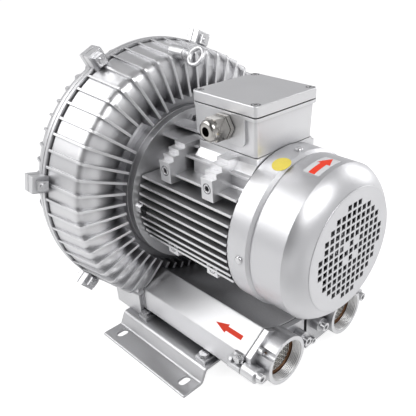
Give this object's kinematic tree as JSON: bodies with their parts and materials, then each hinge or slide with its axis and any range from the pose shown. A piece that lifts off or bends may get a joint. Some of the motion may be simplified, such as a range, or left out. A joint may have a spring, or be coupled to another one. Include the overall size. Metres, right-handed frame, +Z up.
{
  "type": "side channel blower",
  "caption": "Side channel blower: ribbed ring casing with a bladed wheel, flange motor with fan cowl, terminal box, silencers and threaded ports on foot rails.",
  "frame": {"origin": "on the floor, at the middle of the foot slot pattern", "axes": "+Z up, +Y along the shaft from the fan cowl to the casing cover, +X to the right seen from the fan end"},
  "size_m": [0.4124, 0.403, 0.3981],
  "materials": {
    "cast_paint": "satin paint over cast aluminium",
    "cast_plain": "as cast",
    "zinc": "zinc plated",
    "steel": "ground",
    "lamination": "stacked sheet",
    "cage": "cast",
    "copper": "varnished wire",
    "foot_steel": "grey coated sheet",
    "rubber": "matt",
    "nickel": "nickel plated",
    "foam": "open cell foam",
    "screen": "woven wire",
    "ring": "tarnished",
    "black_plastic": "moulded",
    "stud": "bright"
  },
  "bodies": {
    "blower": {"blower_housing": "cast_paint", "box_seals": "rubber", "casing_bolts": "zinc", "casing_cover": "cast_paint", "casing_nuts": "zinc", "casing_seal": "rubber", "cowl_screws": "zinc", "drive_bearing_outer": "steel", "eye_bolt": "zinc", "fan_bearing_outer": "steel", "fan_cowl": "cast_paint", "fan_end_shield": "cast_plain", "flange_bolts": "zinc", "foot_bolts": "zinc", "foot_left": "foot_steel", "foot_nuts": "zinc", "foot_right": "foot_steel", "gland_body": "nickel", "gland_dome": "nickel", "gland_lock_nut": "nickel", "gland_sleeve": "rubber", "gland_washer": "rubber", "lid_screws": "zinc", "motor_frame": "cast_paint", "port_flange_left": "cast_paint", "port_flange_right": "cast_paint", "port_rings": "ring", "port_screens": "screen", "port_screws": "zinc", "rim_screws": "zinc", "shaft_seal": "rubber", "shield_screws": "zinc", "side_bolts": "zinc", "side_pads": "zinc", "silencer_foam": "foam", "silencer_gaskets": "rubber", "silencer_left": "cast_paint", "silencer_right": "cast_paint", "spring_washer": "steel", "stator_core": "lamination", "stator_windings": "copper", "terminal_block": "black_plastic", "terminal_box": "cast_paint", "terminal_lid": "cast_paint", "terminal_studs": "stud", "tie_screws": "zinc"},
    "rotor": {"shaft": "steel", "rotor_core": "lamination", "rotor_end_rings": "cage", "wheel": "cast_plain", "wheel_key": "steel", "wheel_washer": "zinc", "wheel_screw": "zinc", "cooling_fan": "black_plastic", "fan_clip": "zinc", "drive_bearing_inner": "steel", "fan_bearing_inner": "steel"},
    "drive_balls": {"drive_bearing_balls": "steel"},
    "fan_balls": {"fan_bearing_balls": "steel"}
  },
  "joints": [
    {"name": "rotor_spin", "type": "hinge", "parent": "blower", "child": "rotor", "pos_m": [0, 0, 0.205], "axis": [0, 1, 0], "continuous": true},
    {"name": "drive_ball_spin", "type": "hinge", "parent": "blower", "child": "drive_balls", "pos_m": [0, 0.058, 0.205], "axis": [0, 1, 0], "continuous": true},
    {"name": "fan_ball_spin", "type": "hinge", "parent": "blower", "child": "fan_balls", "pos_m": [0, -0.1275, 0.205], "axis": [0, 1, 0], "continuous": true}
  ],
  "couplings": [
    {"joint": "drive_ball_spin", "follows": "rotor_spin", "ratio": 0.4026},
    {"joint": "fan_ball_spin", "follows": "rotor_spin", "ratio": 0.4018}
  ]
}
